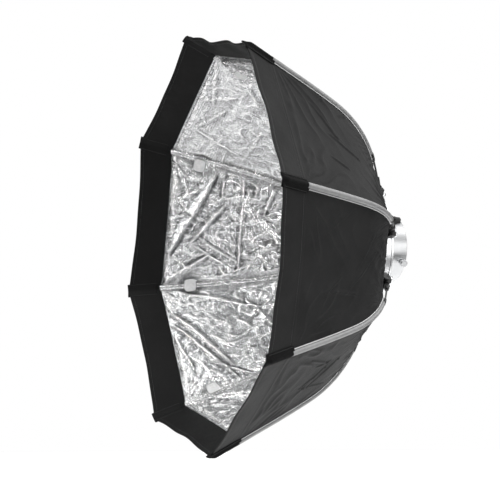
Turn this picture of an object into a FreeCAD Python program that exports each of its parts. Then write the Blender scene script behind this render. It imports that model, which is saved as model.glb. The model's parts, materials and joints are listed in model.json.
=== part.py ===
import FreeCAD, Part
import math
import os

from FreeCAD import Vector

os.makedirs("parts", exist_ok=True)

# An octagonal umbrella-type softbox. Its axis is Y: the open front faces -Y, the flash mount
# faces +Y, and Z is up. The origin is on the axis at the rear end of the mount's bore.
# Depths are measured back from the front rim plane. Most pieces are drawn in a rib's own
# frame, with x outward from the axis, y along the depth and z sideways, and then turned
# about the softbox's axis to that rib's azimuth.

# ---- driving dimensions, mm and degrees ----
RIBS = 8
STEP = 360.0 / RIBS
HALF_STEP = STEP / 2
OVERALL_DEPTH = 450.0
FRONT_RADIUS = 450.0          # front rim, out to a rib

FLARE = 27.6                  # heading of the front stretch, from the axis
STRAIGHT = 150.0              # length of the straight front stretch along a rib
RIB_BENDS = [(103.0, 30.0), (84.0, 45.4), (84.0, 60.8)]   # (length, heading at its end)
FABRIC_END = (360.0, 142.0)   # depth and radius where the fabric meets the hub, on a rib
FABRIC = 1.0                  # shell with its lining
CLEAR = 0.35                  # between pieces that move apart

ROD_RADIUS = 2.0
ROD_LIFT = 4.0                # rod centre above the fabric
ROD_TIP = 14.0                # first point of the rod, along the rib
SLEEVE_WIDTH = 14.0
SLEEVE_BOTTOM = 1.0
SLEEVE_TOP = 7.0
SLEEVE_START = 78.0
BORE_GAP = 0.3                # between the rod and what it slides into

POCKET_WIDTH = 29.0
POCKET_LENGTH = 76.0
POCKET_FLAP = 66.0            # how far the pocket comes back inside the rim
POCKET_CLOTH = 1.5

PIVOT_DEPTH = 378.0
PIVOT_RADIUS = 140.0
PIN_RADIUS = 1.5
KNUCKLE_RADIUS = 5.2
KNUCKLE_WIDTH = 6.6
BARREL_RADIUS = 4.5
BARREL_FROM = 11.0            # from the pivot
BARREL_TO = 33.0
SLOT_WIDTH = 7.2
BRACKET_WIDTH = 25.0

DRUM_FRONT = 352.0
DRUM_RADIUS = 129.0
DRUM_WALL = 4.0
DRUM_LIP = 2.5
DRUM_LIP_RADIUS = 111.0
PLATE_FRONT = 384.0
PLATE_BACK = 388.0
PLATE_RADIUS = 130.0
EAR_RADIUS = 144.5
SCREW_RADIUS = 2.0
SCREW_LENGTH = 8.0
SCREW_HEAD_RADIUS = 3.6
SCREW_HEAD_HEIGHT = 2.4
BRACKET_SCREW_RADIUS = 136.0
BRACKET_SCREW_SIDE = 8.0
DRUM_SCREW_RADIUS = 117.0

HOUSING_RADIUS = 70.0
BORE_RADIUS = 66.0            # the flash head's ring enters here
BORE_LENGTH = 24.0
SEAT_RADIUS = 64.5            # the step that the flash head's ring stops on
FLANGE_RADIUS = 86.0
FLANGE_THICKNESS = 3.5
FLANGE_SCREW_RADIUS = 78.5
SHOULDER_FRONT = 411.3
SHOULDER_BACK = 414.3
SHOULDER_RADIUS = 62.0
GROOVE_FRONT = 401.2
GROOVE_BACK = 404.7
GROOVE_RADIUS = 67.6
INSERT_FRONT = 405.0
INSERT_BACK = 411.0
INSERT_RADIUS = 65.8
SPIGOT_RADIUS = 49.0
SPIGOT_WALL = 3.0
SPIGOT_BACK = 425.0
LUG_RADIUS = 53.5
LUG_THICKNESS = 4.0
LUG_ANGLE = 34.0

THUMB_AZIMUTH = -13.0
THUMB_DEPTH = 438.0
THUMB_TRAVEL = 3.0
THUMB_SHANK = 3.0
THUMB_BOSS_TOP = 73.0

LEVER_AZIMUTH = 64.0
LEVER_PIVOT_DEPTH = 433.0
LEVER_PIVOT_RADIUS = 76.0
LEVER_WIDTH = 8.0
LEVER_PIN_RADIUS = 1.2
LEVER_EAR = 2.2

FAR = 900.0                   # longer than any piece


def rib_azimuth(number):
    return HALF_STEP + STEP * (number - 1)


def turned(shape, azimuth):
    """The shape turned about the softbox's axis, from +X towards +Z."""
    copy = shape.copy()
    copy.rotate(Vector(0, 0, 0), Vector(0, -1, 0), azimuth)
    return copy


def mirrored(shape):
    """The shape reflected to the other side of its rib."""
    return shape.mirror(Vector(0, 0, 0), Vector(0, 0, 1))


def at(depth, radius, side=0.0):
    return Vector(radius, depth - OVERALL_DEPTH, side)


def block(depths, radii, sides):
    """A box between two depths, two radii and two sideways places."""
    size = [abs(depths[1] - depths[0]), abs(radii[1] - radii[0]), abs(sides[1] - sides[0])]
    return Part.makeBox(size[1], size[0], size[2], at(min(depths), min(radii), min(sides)))


def disc(radius, depth_from, depth_to):
    """A cylinder on the softbox's axis."""
    return Part.makeCylinder(radius, depth_to - depth_from, at(depth_from, 0), Vector(0, 1, 0))


def ring(outer, inner, depth_from, depth_to):
    return disc(outer, depth_from, depth_to).cut(disc(inner, depth_from, depth_to))


def rounded(shape, radius, chosen):
    """The shape with the edges that chosen picks filleted."""
    return shape.makeFillet(radius, [edge for edge in shape.Edges if chosen(edge)])


def is_circle(edge, radius):
    return isinstance(edge.Curve, Part.Circle) and abs(edge.Curve.Radius - radius) < 0.01


# ---- the rib's line: straight runs and tangent arcs in the plane z = 0 ----

def outward(heading):
    return Vector(math.cos(heading), math.sin(heading), 0)


def along(heading):
    return Vector(-math.sin(heading), math.cos(heading), 0)


def stretch(start, heading, length, end_heading):
    return {"start": start, "heading": heading, "length": length, "end": end_heading}


def stretch_to(start, heading, target):
    """The arc that leaves start at this heading and reaches target."""
    chord = target - start
    half_turn = math.atan2(-chord.x, chord.y) - heading
    length = chord.Length * half_turn / math.sin(half_turn)
    return stretch(start, heading, length, heading + 2 * half_turn)


def point_on(piece, distance, lift=0.0):
    """The point at this distance along one stretch, lifted outward, and the heading there."""
    turn = piece["end"] - piece["heading"]
    heading = piece["heading"] + turn * distance / piece["length"]
    if abs(turn) < 1e-9:
        point = piece["start"] + along(heading) * distance
    else:
        radius = piece["length"] / turn
        point = piece["start"] + (outward(heading) - outward(piece["heading"])) * radius
    return point + outward(heading) * lift, heading


def fabric_line():
    """The outer face of the fabric along a rib, from the front rim to the hub."""
    heading = math.radians(FLARE)
    pieces = [stretch(at(0, FRONT_RADIUS), heading, STRAIGHT, heading)]
    for length, end_heading in RIB_BENDS:
        start, heading = point_on(pieces[-1], pieces[-1]["length"])
        pieces.append(stretch(start, heading, length, math.radians(end_heading)))
    start, heading = point_on(pieces[-1], pieces[-1]["length"])
    pieces.append(stretch_to(start, heading, at(*FABRIC_END)))
    return pieces


def rod_line(fabric):
    """The rod's centre: a lift above the fabric in its sleeve, and then on to the pivot."""
    pieces = []
    for piece in fabric[:-1]:
        start, heading = point_on(piece, 0, ROD_LIFT)
        length = piece["length"] + ROD_LIFT * (piece["end"] - heading)
        pieces.append(stretch(start, heading, length, piece["end"]))
    start, heading = point_on(pieces[-1], pieces[-1]["length"])
    pieces.append(stretch_to(start, heading, at(PIVOT_DEPTH, PIVOT_RADIUS)))
    return pieces


def line_length(pieces):
    return sum(piece["length"] for piece in pieces)


def place_on(pieces, distance, lift=0.0):
    """The point and heading at this distance along the whole line."""
    for piece in pieces[:-1]:
        if distance <= piece["length"]:
            return point_on(piece, distance, lift)
        distance -= piece["length"]
    return point_on(pieces[-1], distance, lift)


def wire_on(pieces, begin, finish):
    """The part of a line between two distances, as a wire."""
    edges = []
    passed = 0.0
    for piece in pieces:
        first = max(begin - passed, 0.0)
        last = min(finish - passed, piece["length"])
        passed += piece["length"]
        if last - first < 1e-6:
            continue
        a, middle, b = (point_on(piece, d)[0] for d in (first, (first + last) / 2, last))
        curved = abs(piece["end"] - piece["heading"]) > 1e-9
        edges.append((Part.Arc(a, middle, b) if curved else Part.LineSegment(a, b)).toShape())
    return Part.Wire(edges)


def swept(profile, wire):
    return wire.makePipeShell([profile], True, False)


def round_bar(pieces, begin, finish, radius):
    start, heading = place_on(pieces, begin)
    circle = Part.makeCircle(radius, start, along(heading))
    return swept(Part.Wire(circle), wire_on(pieces, begin, finish))


def flat_bar(pieces, begin, finish, width, thickness):
    """A bar of rounded flat section, wide across the rib."""
    start, heading = place_on(pieces, begin)
    up = outward(heading) * (thickness / 2)
    side = Vector(0, 0, width / 2 - thickness / 2)
    bulge = Vector(0, 0, width / 2)
    edges = [
        Part.LineSegment(start + up - side, start + up + side).toShape(),
        Part.Arc(start + up + side, start + bulge, start - up + side).toShape(),
        Part.LineSegment(start - up + side, start - up - side).toShape(),
        Part.Arc(start - up - side, start - bulge, start + up - side).toShape(),
    ]
    return swept(Part.Wire(edges), wire_on(pieces, begin, finish))


# ---- fabric ----

def panel_curve(fabric, begin, finish, lift):
    """A panel's section at its middle, lifted outward: edges from begin to finish."""
    narrow = math.cos(math.radians(HALF_STEP))
    whole = line_length(fabric)
    knots = [begin]
    if finish > STRAIGHT:
        bent_stations = 16
        knots += [STRAIGHT + (whole - STRAIGHT) * n / bent_stations
                  for n in range(bent_stations + 1)]
    else:
        knots.append(finish)
    points = []
    tangents = []
    for distance in knots:
        point, heading = place_on(fabric, distance)
        run = along(heading)
        tangent = Vector(run.x * narrow, run.y, 0).normalize()
        normal = Vector(tangent.y, -tangent.x, 0)
        points.append(Vector(point.x * narrow, point.y, 0) + normal * lift)
        tangents.append(tangent)
    edges = [Part.LineSegment(points[0], points[1]).toShape()]
    if len(points) > 2:
        bent = Part.BSplineCurve()
        bent.interpolate(Points=points[1:], InitialTangent=tangents[1], FinalTangent=tangents[-1])
        edges.append(bent.toShape())
    return edges, points[0], points[-1]


def half_panel(fabric, inner, outer, begin, finish, rib_gap, middle_gap):
    """Half a panel's wall, from its rib out to the panel's middle, on the rib's +z side."""
    top, top_front, top_back = panel_curve(fabric, begin, finish, outer)
    bottom, bottom_front, bottom_back = panel_curve(fabric, begin, finish, inner)
    closing = [
        Part.LineSegment(top_front, bottom_front).toShape(),
        Part.LineSegment(top_back, bottom_back).toShape(),
    ]
    face = Part.Face(Part.Wire(Part.__sortEdges__(top + bottom + closing)))
    face.translate(Vector(0, 0, -middle_gap))
    wall = turned(face.extrude(Vector(0, 0, -FRONT_RADIUS)), HALF_STEP)
    beyond_rib = block((-FAR, 2 * FAR), (-FAR, FAR), (-FAR, rib_gap))
    return wall.cut(beyond_rib)


def panel_halves(fabric):
    """The two half panels beside a rib: on its +z side and on its -z side."""
    gap = CLEAR / 2
    half = half_panel(fabric, -FABRIC, 0.0, 0.0, line_length(fabric), gap, gap)
    return half, mirrored(half)


def both_sides(fabric, inner, outer, begin, finish):
    """A band that lies along both panels beside a rib and meets on it."""
    half = half_panel(fabric, inner, outer, begin, finish, 0.0, 0.0)
    return half.fuse(mirrored(half))


def tip_pocket(fabric, rod):
    """A cloth pocket that wraps the rim and holds the tip of the rod."""
    under = -FABRIC - CLEAR
    front = -CLEAR - POCKET_CLOTH
    over = both_sides(fabric, CLEAR, CLEAR + POCKET_CLOTH, front, POCKET_LENGTH)
    flap = both_sides(fabric, under - POCKET_CLOTH, under, front, POCKET_FLAP)
    bridge = both_sides(fabric, under - 1, CLEAR + 1, front, -CLEAR)
    cloth = over.fuse([flap, bridge])
    half_width = POCKET_WIDTH / 2
    cloth = cloth.common(block((-FAR, FAR), (0, FAR), (-half_width, half_width)))
    tube_radius = ROD_RADIUS + POCKET_CLOTH
    tube = round_bar(rod, ROD_TIP - 2, POCKET_LENGTH - 1, tube_radius)
    cap = Part.makeSphere(tube_radius, place_on(rod, ROD_TIP - 2)[0])
    hole = round_bar(rod, ROD_TIP - 1, POCKET_LENGTH, ROD_RADIUS + BORE_GAP)
    return cloth.fuse([tube, cap]).cut(hole).removeSplitter()


def sleeve(rod):
    end = line_length(rod[:-1])
    thickness = SLEEVE_TOP - SLEEVE_BOTTOM
    tape = flat_bar(rod, SLEEVE_START, end, SLEEVE_WIDTH, thickness)
    hole = round_bar(rod, SLEEVE_START - 1, end + 1, ROD_RADIUS + BORE_GAP)
    return tape.cut(hole)


def rib_rod(rod):
    return round_bar(rod, ROD_TIP, line_length(rod) - BARREL_FROM, ROD_RADIUS)


def rib_socket(rod):
    """The moulded end of the rib: a barrel on the rod and a flat knuckle on the hinge pin."""
    length = line_length(rod)
    pivot, heading = place_on(rod, length)
    half_width = KNUCKLE_WIDTH / 2
    sideways = Vector(0, 0, 1)
    barrel = round_bar(rod, length - BARREL_TO, length - BARREL_FROM, BARREL_RADIUS)
    start = pivot - Vector(0, 0, half_width)
    knuckle = Part.makeCylinder(KNUCKLE_RADIUS, KNUCKLE_WIDTH, start, sideways)
    neck_height = 2 * BARREL_RADIUS - 1
    back = place_on(rod, length - BARREL_FROM - 2)[0]
    neck_length = (pivot - back).Length
    neck = Part.makeBox(neck_length, neck_height, KNUCKLE_WIDTH,
                        Vector(0, -neck_height / 2, -half_width))
    angle = math.degrees(math.atan2(back.y - pivot.y, back.x - pivot.x))
    neck.rotate(Vector(0, 0, 0), sideways, angle)
    neck.translate(pivot)
    body = barrel.fuse([knuckle, neck])
    rod_hole = round_bar(rod, length - BARREL_TO - 1, length - BARREL_FROM, ROD_RADIUS + 0.02)
    pin_hole = Part.makeCylinder(PIN_RADIUS + 0.05, FAR, pivot - sideways * (FAR / 2), sideways)
    return body.cut(rod_hole.fuse(pin_hole))


# ---- hub ----

def screw(radius, side, head_depth, direction):
    """A pan-head screw along the axis, its head's underside at head_depth.

    direction is +1 when the point faces the rear."""
    under_head = at(head_depth, radius, side)
    shank = Part.makeCylinder(SCREW_RADIUS, SCREW_LENGTH, under_head, Vector(0, direction, 0))
    head = Part.makeCylinder(SCREW_HEAD_RADIUS, SCREW_HEAD_HEIGHT, under_head,
                             Vector(0, -direction, 0))
    head = head.makeFillet(1.0, [head.Edges[0]])
    across = 2 * SCREW_RADIUS
    slot = Part.makeBox(across, 1.4, 0.9, Vector(-across / 2, -0.7, -0.45))
    slot.translate(under_head + Vector(0, -direction * (SCREW_HEAD_HEIGHT - 0.6), 0))
    crossing = slot.copy()
    crossing.rotate(under_head, Vector(0, 1, 0), 90)
    return shank.fuse(head).cut(slot.fuse(crossing))


def bracket(pivot):
    """One hinge bracket: two cheeks on a base that sits on the drum."""
    half_width = BRACKET_WIDTH / 2
    reach = 10.5
    outer = PIVOT_RADIUS + reach
    front = PIVOT_DEPTH - reach
    body = block((front, PLATE_FRONT), (DRUM_RADIUS - 3, outer), (-half_width, half_width))
    corner = block((front, PIVOT_DEPTH), (PIVOT_RADIUS, outer), (-half_width, half_width))
    nose = Part.makeCylinder(reach, BRACKET_WIDTH, pivot - Vector(0, 0, half_width), Vector(0, 0, 1))
    body = body.cut(corner.cut(nose))
    body = rounded(body, 3.0, lambda edge: abs(edge.CenterOfMass.x - outer) < 0.01
                   and abs(edge.CenterOfMass.y - at(PLATE_FRONT, 0).y) < 0.01)
    body = rounded(body, 1.5, lambda edge: abs(abs(edge.CenterOfMass.z) - half_width) < 0.01
                   and edge.CenterOfMass.x > DRUM_RADIUS + 3)
    half_slot = SLOT_WIDTH / 2
    slot = block((0, OVERALL_DEPTH), (PIVOT_RADIUS - KNUCKLE_RADIUS - 1, FAR),
                 (-half_slot, half_slot))
    drum = disc(DRUM_RADIUS + 0.02, 0, OVERALL_DEPTH)
    pin_hole = Part.makeCylinder(PIN_RADIUS + 0.02, FAR, pivot - Vector(0, 0, FAR / 2),
                                 Vector(0, 0, 1))
    body = body.cut(slot.fuse([drum, pin_hole]))
    for side in (-BRACKET_SCREW_SIDE, BRACKET_SCREW_SIDE):
        body = body.cut(screw_hole(BRACKET_SCREW_RADIUS, side))
    return body


def screw_hole(radius, side):
    """A hole for a hub screw, from the rear plate's rear face forward."""
    start = at(PLATE_BACK + 1, radius, side)
    return Part.makeCylinder(SCREW_RADIUS + 0.02, SCREW_LENGTH + 1.5, start, Vector(0, -1, 0))


def hub_screw_places():
    """(azimuth, radius, side) of each screw through the rear plate."""
    places = []
    for number in range(1, RIBS + 1):
        for side in (-BRACKET_SCREW_SIDE, BRACKET_SCREW_SIDE):
            places.append((rib_azimuth(number), BRACKET_SCREW_RADIUS, side))
        places.append((rib_azimuth(number) + HALF_STEP, DRUM_SCREW_RADIUS, 0.0))
    return places


def hub_drum():
    wall = ring(DRUM_RADIUS, DRUM_RADIUS - DRUM_WALL, DRUM_FRONT, PLATE_FRONT)
    lip = ring(DRUM_RADIUS - DRUM_WALL, DRUM_LIP_RADIUS, PLATE_FRONT - DRUM_LIP, PLATE_FRONT)
    body = wall.fuse(lip).removeSplitter()
    front = at(DRUM_FRONT, 0).y
    body = rounded(body, 1.2, lambda edge: abs(edge.CenterOfMass.y - front) < 0.01)
    body = rounded(body, 1.5, lambda edge: is_circle(edge, DRUM_RADIUS)
                   and abs(edge.CenterOfMass.y - at(PLATE_FRONT, 0).y) < 0.01)
    holes = [turned(screw_hole(radius, side), azimuth)
             for azimuth, radius, side in hub_screw_places() if radius == DRUM_SCREW_RADIUS]
    return body.cut(Part.makeCompound(holes))


def hub_rear_plate():
    """The flat rear plate, with an ear behind each bracket."""
    ear_half = BRACKET_WIDTH / 2
    ear = block((PLATE_FRONT, PLATE_BACK), (PLATE_RADIUS - 15, EAR_RADIUS), (-ear_half, ear_half))
    ear = rounded(ear, 4.0, lambda edge: abs(edge.CenterOfMass.x - EAR_RADIUS) < 0.01
                  and abs(abs(edge.CenterOfMass.z) - ear_half) < 0.01)
    ears = [turned(ear, rib_azimuth(number)) for number in range(1, RIBS + 1)]
    body = disc(PLATE_RADIUS, PLATE_FRONT, PLATE_BACK).fuse(ears).removeSplitter()
    rear = at(PLATE_BACK, 0).y
    body = rounded(body, 0.8, lambda edge: abs(edge.CenterOfMass.y - rear) < 0.01)
    body = body.cut(disc(HOUSING_RADIUS + 0.02, PLATE_FRONT, PLATE_BACK))
    holes = [turned(screw_hole(radius, side), azimuth)
             for azimuth, radius, side in hub_screw_places()]
    for number in range(RIBS):
        hole = Part.makeCylinder(SCREW_RADIUS + 0.02, FAR, at(0, FLANGE_SCREW_RADIUS),
                                 Vector(0, 1, 0))
        holes.append(turned(hole, STEP * number))
    return body.cut(Part.makeCompound(holes))


def speedring_housing():
    """The polished ring behind the hub: flange, tube, shoulder, groove and mount bore."""
    flange_front = PLATE_FRONT - FLANGE_THICKNESS
    tube = disc(HOUSING_RADIUS, flange_front, OVERALL_DEPTH)
    body = tube.fuse(disc(FLANGE_RADIUS, flange_front, PLATE_FRONT)).removeSplitter()
    rear = at(OVERALL_DEPTH, 0).y
    body = rounded(body, 1.2, lambda edge: abs(edge.CenterOfMass.y - rear) < 0.01)
    boss = Part.makeCylinder(6.5, THUMB_BOSS_TOP - 60, at(THUMB_DEPTH, 60), Vector(1, 0, 0))
    body = body.fuse(turned(boss, THUMB_AZIMUTH))
    seat_depth = OVERALL_DEPTH - BORE_LENGTH
    hollow = disc(BORE_RADIUS, flange_front, SHOULDER_FRONT)
    hollow = hollow.fuse([
        disc(SHOULDER_RADIUS, SHOULDER_FRONT - 1, SHOULDER_BACK + 1),
        disc(SEAT_RADIUS, SHOULDER_BACK, seat_depth + 1),
        disc(BORE_RADIUS, seat_depth, OVERALL_DEPTH),
        disc(GROOVE_RADIUS, GROOVE_FRONT, GROOVE_BACK),
    ])
    body = body.cut(hollow)
    thumb_hole = Part.makeCylinder(THUMB_SHANK + 0.05, 40, at(THUMB_DEPTH, 60), Vector(1, 0, 0))
    half_window = LEVER_WIDTH / 2 + CLEAR
    window = block((439.6, 447.4), (60, 80), (-half_window, half_window))
    body = body.cut(turned(thumb_hole, THUMB_AZIMUTH).fuse(turned(window, LEVER_AZIMUTH)))
    holes = []
    for number in range(RIBS):
        hole = Part.makeCylinder(SCREW_RADIUS + 0.02, FAR, at(0, FLANGE_SCREW_RADIUS),
                                 Vector(0, 1, 0))
        holes.append(turned(hole, STEP * number))
    return body.cut(Part.makeCompound(holes))


def bayonet_ring():
    """The turning insert, with the three-lug bayonet that the flash head locks onto."""
    inner = SPIGOT_RADIUS - SPIGOT_WALL
    web = ring(INSERT_RADIUS, inner, INSERT_FRONT, INSERT_BACK)
    spigot = ring(SPIGOT_RADIUS, inner, INSERT_BACK - 1, SPIGOT_BACK)
    lug_ring = Part.makeCylinder(LUG_RADIUS, LUG_THICKNESS, at(SPIGOT_BACK - LUG_THICKNESS, 0),
                                 Vector(0, 1, 0), LUG_ANGLE)
    lug_ring = lug_ring.cut(disc(SPIGOT_RADIUS - 1, 0, OVERALL_DEPTH))
    lugs = [turned(lug_ring, 120 * number) for number in range(3)]
    return web.fuse([spigot] + lugs).removeSplitter()


def retaining_ring():
    """A split spring ring in the housing's groove, in front of the turning insert."""
    body = ring(GROOVE_RADIUS - 0.2, 61.5, GROOVE_FRONT + 0.3, GROOVE_BACK - 0.3)
    split = block((0, OVERALL_DEPTH), (50, 80), (-5, 5))
    return body.cut(turned(split, -90))


def thumb_screw():
    """A clamp screw through the housing's wall: shank, collar and a knob with flats."""
    depth = THUMB_DEPTH
    outwards = Vector(1, 0, 0)
    tip = BORE_RADIUS + 0.4
    collar_from = THUMB_BOSS_TOP + THUMB_TRAVEL + 0.4
    knob_from = collar_from + 3
    knob_to = knob_from + 9
    shank = Part.makeCylinder(THUMB_SHANK, collar_from - tip + 1, at(depth, tip), outwards)
    collar = Part.makeCylinder(5.0, knob_from - collar_from, at(depth, collar_from), outwards)
    knob = Part.makeCylinder(7.5, knob_to - knob_from, at(depth, knob_from), outwards)
    knob = knob.makeFillet(1.2, [knob.Edges[0], knob.Edges[2]])
    flutes = []
    flute_count = 10
    for number in range(flute_count):
        flute = Part.makeCylinder(1.6, 20, at(depth + 8.3, knob_from - 1), outwards)
        flute.rotate(at(depth, 0), outwards, 360 / flute_count * number)
        flutes.append(flute)
    return shank.fuse([collar, knob.cut(Part.makeCompound(flutes))])


def lock_lever():
    """A rocker latch on the housing: pad in front, nose through the housing's window."""
    def corner(depth, radius):
        return at(depth, radius, -LEVER_WIDTH / 2)
    outline = [
        corner(420.5, 80.5), corner(423.0, 83.5), corner(426.5, 83.0), corner(430.0, 80.5),
        corner(444.6, 79.5), corner(444.6, 66.5), corner(441.0, 66.5), corner(440.6, 73.4),
        corner(424.0, 73.4), corner(421.0, 76.0), corner(420.5, 80.5),
    ]
    body = Part.Face(Part.makePolygon(outline)).extrude(Vector(0, 0, LEVER_WIDTH))
    across = [edge for edge in body.Edges
              if abs(edge.Length - LEVER_WIDTH) < 0.01 and edge.CenterOfMass.x > 78]
    body = body.makeFillet(1.0, across)
    hole = Part.makeCylinder(LEVER_PIN_RADIUS + 0.05, 40,
                             at(LEVER_PIVOT_DEPTH, LEVER_PIVOT_RADIUS, -20), Vector(0, 0, 1))
    return body.cut(hole)


def lever_bracket():
    """A saddle on the housing, with an ear at each side of the lever and the pin between."""
    inner = LEVER_WIDTH / 2 + CLEAR
    outer = inner + LEVER_EAR
    front, back = LEVER_PIVOT_DEPTH - 9, LEVER_PIVOT_DEPTH + 5
    saddle = block((front, back), (60, HOUSING_RADIUS + 1.5), (-outer, outer))
    ear = block((front, back), (60, LEVER_PIVOT_RADIUS), (inner, outer))
    ear = rounded(ear, 2.0, lambda edge: abs(edge.CenterOfMass.x - LEVER_PIVOT_RADIUS) < 0.01
                  and abs(abs(edge.CenterOfMass.z) - (inner + outer) / 2) < 0.01)
    eye = Part.makeCylinder(4, LEVER_EAR, at(LEVER_PIVOT_DEPTH, LEVER_PIVOT_RADIUS, inner),
                            Vector(0, 0, 1))
    ear = ear.fuse(eye)
    pin = Part.makeCylinder(LEVER_PIN_RADIUS, 2 * outer,
                            at(LEVER_PIVOT_DEPTH, LEVER_PIVOT_RADIUS, -outer), Vector(0, 0, 1))
    body = saddle.fuse([ear, mirrored(ear), pin]).removeSplitter()
    return body.cut(disc(HOUSING_RADIUS, front - 1, back + 1))


# ---- the whole softbox ----

def one_solid(shape):
    """The shape as a bare solid, when it is a compound that holds just one."""
    return shape.Solids[0] if len(shape.Solids) == 1 else shape


def build():
    fabric = fabric_line()
    rod = rod_line(fabric)
    pivot = at(PIVOT_DEPTH, PIVOT_RADIUS)
    plus_half, minus_half = panel_halves(fabric)
    rib_pieces = {
        "rod": rib_rod(rod),
        "sleeve": sleeve(rod),
        "tip_pocket": tip_pocket(fabric, rod),
        "socket": rib_socket(rod),
    }
    nodes = {}
    for number in range(1, RIBS + 1):
        azimuth = rib_azimuth(number)
        for name, shape in rib_pieces.items():
            nodes[f"rib_{number}_{name}"] = turned(shape, azimuth)
        before = number - 1 if number > 1 else RIBS
        nodes[f"panel_{number}_half_a"] = turned(plus_half, azimuth)
        nodes[f"panel_{before}_half_b"] = turned(minus_half, azimuth)

    azimuths = [rib_azimuth(number) for number in range(1, RIBS + 1)]
    pin_half = BRACKET_WIDTH / 2 - 1
    pin = Part.makeCylinder(PIN_RADIUS, 2 * pin_half, pivot - Vector(0, 0, pin_half), Vector(0, 0, 1))
    one_bracket = bracket(pivot)
    flange_front = PLATE_FRONT - FLANGE_THICKNESS
    flange_screw = screw(FLANGE_SCREW_RADIUS, 0.0, flange_front, 1)
    nodes["rib_brackets"] = Part.makeCompound([turned(one_bracket, a) for a in azimuths])
    nodes["hinge_pins"] = Part.makeCompound([turned(pin, a) for a in azimuths])
    nodes["hub_screws"] = Part.makeCompound(
        [turned(screw(radius, side, PLATE_BACK, -1), azimuth)
         for azimuth, radius, side in hub_screw_places()])
    nodes["housing_screws"] = Part.makeCompound(
        [turned(flange_screw, STEP * number) for number in range(RIBS)])
    nodes["hub_drum"] = hub_drum()
    nodes["hub_rear_plate"] = hub_rear_plate()
    nodes["speedring_housing"] = speedring_housing()
    nodes["bayonet_ring"] = bayonet_ring()
    nodes["retaining_ring"] = retaining_ring()
    nodes["thumb_screw"] = turned(thumb_screw(), THUMB_AZIMUTH)
    nodes["lock_lever"] = turned(lock_lever(), LEVER_AZIMUTH)
    nodes["lever_bracket"] = turned(lever_bracket(), LEVER_AZIMUTH)
    return nodes


for node, shape in build().items():
    shape = one_solid(shape)
    if not shape.isValid():
        print("not valid:", node)
    shape.exportStep(f"parts/{node}.step")
    print(f"{node}: {len(shape.Solids)} solid(s), {shape.Volume / 1000:.2f} cm3")
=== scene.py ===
import json
import math

import bpy
import numpy as np
from mathutils import Matrix, Vector


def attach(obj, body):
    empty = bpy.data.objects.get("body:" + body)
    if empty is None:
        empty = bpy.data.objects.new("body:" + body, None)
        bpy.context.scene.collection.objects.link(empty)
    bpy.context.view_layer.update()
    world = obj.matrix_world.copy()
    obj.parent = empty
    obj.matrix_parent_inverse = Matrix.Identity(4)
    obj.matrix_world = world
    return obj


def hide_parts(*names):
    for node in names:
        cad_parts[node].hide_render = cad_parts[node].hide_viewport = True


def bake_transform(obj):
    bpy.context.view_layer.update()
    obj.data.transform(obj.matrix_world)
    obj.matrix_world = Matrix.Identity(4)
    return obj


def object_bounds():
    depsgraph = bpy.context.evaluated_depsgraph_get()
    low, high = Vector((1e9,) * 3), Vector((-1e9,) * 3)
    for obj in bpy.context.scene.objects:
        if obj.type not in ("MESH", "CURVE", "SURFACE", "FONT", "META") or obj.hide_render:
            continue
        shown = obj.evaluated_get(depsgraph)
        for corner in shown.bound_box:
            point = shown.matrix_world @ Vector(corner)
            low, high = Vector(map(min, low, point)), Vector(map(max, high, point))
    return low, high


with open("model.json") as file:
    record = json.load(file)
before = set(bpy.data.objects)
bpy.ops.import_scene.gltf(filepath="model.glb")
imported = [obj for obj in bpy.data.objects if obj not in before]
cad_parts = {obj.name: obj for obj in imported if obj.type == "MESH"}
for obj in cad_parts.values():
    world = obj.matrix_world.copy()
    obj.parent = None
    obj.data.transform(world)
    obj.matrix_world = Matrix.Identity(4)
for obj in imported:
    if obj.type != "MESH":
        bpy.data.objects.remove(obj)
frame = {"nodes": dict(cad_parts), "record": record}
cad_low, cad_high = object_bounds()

# The softbox's axis is Y. The open front faces -Y, the flash mount faces +Y, and Z is up.
# Rib k stands at azimuth 22.5 + 45 (k - 1) degrees, from +X towards +Z, and panel k is
# between rib k and rib k + 1. Lengths are in metres, and "depth" is measured back from the
# front rim plane.

RIBS = 8
HALF_STEP = math.radians(22.5)
STEP = 2 * HALF_STEP
DEPTH = 0.450                     # front rim plane to the mount's rear end
FRONT_RADIUS = 0.450
FLARE = math.radians(27.6)
STRAIGHT = 0.150
RIB_BENDS = [(0.103, 30.0), (0.084, 45.4), (0.084, 60.8)]
FABRIC_END = (0.351, 0.142)       # depth and radius of the cloth's hub end, on a rib
SLEEVE_END = STRAIGHT + sum(length for length, _ in RIB_BENDS)
ROD_LIFT = 0.004                  # the rod's centre, outward from the fabric line
ROD_RADIUS = 0.002
SEAM = 0.071                      # where the lip ends and the panel begins, along a rib
ROD_TIP = 0.014                   # where the rod ends, behind the front rim
ROD_CHANNEL = 0.0058              # half the width of the sleeve's raised middle
POCKET_LENGTH = 0.076             # on the outside
POCKET_WIDTH = 0.029
POCKET_FLAP = 0.066               # on the inside
SLEEVE_WIDTH = 0.0135
DRUM_RADIUS = 0.129
COLLAR_RADIUS = 0.1318            # where the panels' hub ends gather round the drum
GATHER = 0.022                    # the last of the cloth, which draws in to the collar
CLOTH_SPACING = 0.0034            # between the points of a panel's outer mesh
LINING_SPACING = 0.0026
LINING_LIFT = -0.0014             # the lining, outward from the fabric line
RIPSTOP = 0.0052                  # the period of the grid woven into the lining
STITCH = 0.0032                   # the length of one stitch
HUB_SAG = 0.0085                  # how far a panel hangs in between its ribs near the hub
SEAM_TAPE_WIDTH = 0.0132


# -------------------- the rib's line

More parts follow.
